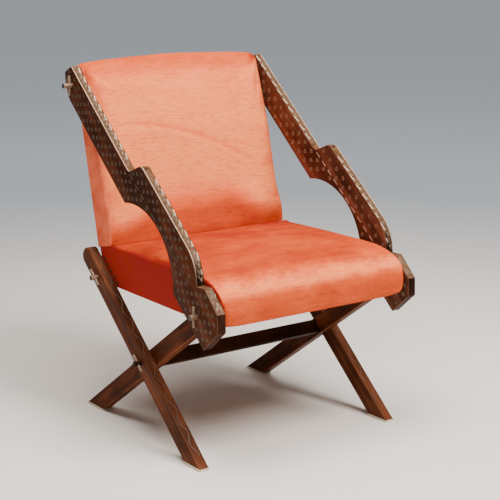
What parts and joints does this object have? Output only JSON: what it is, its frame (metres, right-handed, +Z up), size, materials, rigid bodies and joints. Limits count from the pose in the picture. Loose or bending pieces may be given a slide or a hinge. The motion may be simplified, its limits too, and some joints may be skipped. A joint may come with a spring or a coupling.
{
  "type": "armchair",
  "caption": "Knock-down armchair with crossed legs, raking stepped arms, round pins locked by pegs, and a velvet padded seat and back.",
  "frame": {"origin": "floor, under the middle of the chair's bounding box", "axes": "+Z up, -Y the way the sitter faces, +X the sitter's left, millimetres in the source and metres here"},
  "size_m": [0.626, 0.6635, 0.8736],
  "materials": {
    "dark_wood": "dark stained hardwood, worn polish, pale inlay",
    "frame_wood": "plain unfinished frame timber",
    "webbing": "woven jute webbing",
    "velvet": "coral velvet over stuffing",
    "pin_wood": "turned hardwood, dark end grain",
    "peg_wood": "turned pale hardwood, polished",
    "foot_felt": "cream felt",
    "nail_brass": "aged dome-headed nails"
  },
  "bodies": {
    "chair": {"arm_left": "dark_wood", "front_leg_left": "dark_wood", "rear_leg_left": "dark_wood", "arm_right": "dark_wood", "front_leg_right": "dark_wood", "rear_leg_right": "dark_wood", "stretcher": "dark_wood", "seat_front_rail": "frame_wood", "seat_rear_rail": "frame_wood", "seat_corner_blocks": "frame_wood", "back_top_rail": "frame_wood", "back_bottom_rail": "frame_wood", "seat_side_rail_left": "frame_wood", "back_stile_left": "frame_wood", "seat_side_rail_right": "frame_wood", "back_stile_right": "frame_wood", "seat_webbing_long": "webbing", "seat_webbing_cross": "webbing", "back_webbing": "webbing", "seat_pad": "velvet", "back_pad": "velvet", "back_panel": "velvet", "pin_back_left": "pin_wood", "pin_front_left": "pin_wood", "pin_rear_left": "pin_wood", "pin_back_right": "pin_wood", "pin_front_right": "pin_wood", "pin_rear_right": "pin_wood", "foot_pad_front_left": "foot_felt", "foot_pad_rear_left": "foot_felt", "foot_pad_front_right": "foot_felt", "foot_pad_rear_right": "foot_felt", "seat_nails_left": "nail_brass", "seat_nails_right": "nail_brass"},
    "peg_back_left": {"peg_back_left": "peg_wood"},
    "peg_front_left": {"peg_front_left": "peg_wood"},
    "peg_rear_left": {"peg_rear_left": "peg_wood"},
    "peg_cross_left": {"peg_cross_left": "peg_wood"},
    "peg_back_right": {"peg_back_right": "peg_wood"},
    "peg_front_right": {"peg_front_right": "peg_wood"},
    "peg_rear_right": {"peg_rear_right": "peg_wood"},
    "peg_cross_right": {"peg_cross_right": "peg_wood"}
  },
  "joints": [
    {"name": "peg_back_left_draw", "type": "slide", "parent": "chair", "child": "peg_back_left", "axis": [0, 0, 1], "range_m": [0, 0.036]},
    {"name": "peg_front_left_draw", "type": "slide", "parent": "chair", "child": "peg_front_left", "axis": [0, 0, 1], "range_m": [0, 0.036]},
    {"name": "peg_rear_left_draw", "type": "slide", "parent": "chair", "child": "peg_rear_left", "axis": [0, 0.7581, 0.6521], "range_m": [0, 0.036]},
    {"name": "peg_cross_left_draw", "type": "slide", "parent": "chair", "child": "peg_cross_left", "axis": [0, 0.7581, 0.6521], "range_m": [0, 0.036]},
    {"name": "peg_back_right_draw", "type": "slide", "parent": "chair", "child": "peg_back_right", "axis": [0, 0, 1], "range_m": [0, 0.036]},
    {"name": "peg_front_right_draw", "type": "slide", "parent": "chair", "child": "peg_front_right", "axis": [0, 0, 1], "range_m": [0, 0.036]},
    {"name": "peg_rear_right_draw", "type": "slide", "parent": "chair", "child": "peg_rear_right", "axis": [0, 0.7581, 0.6521], "range_m": [0, 0.036]},
    {"name": "peg_cross_right_draw", "type": "slide", "parent": "chair", "child": "peg_cross_right", "axis": [0, 0.7581, 0.6521], "range_m": [0, 0.036]}
  ]
}
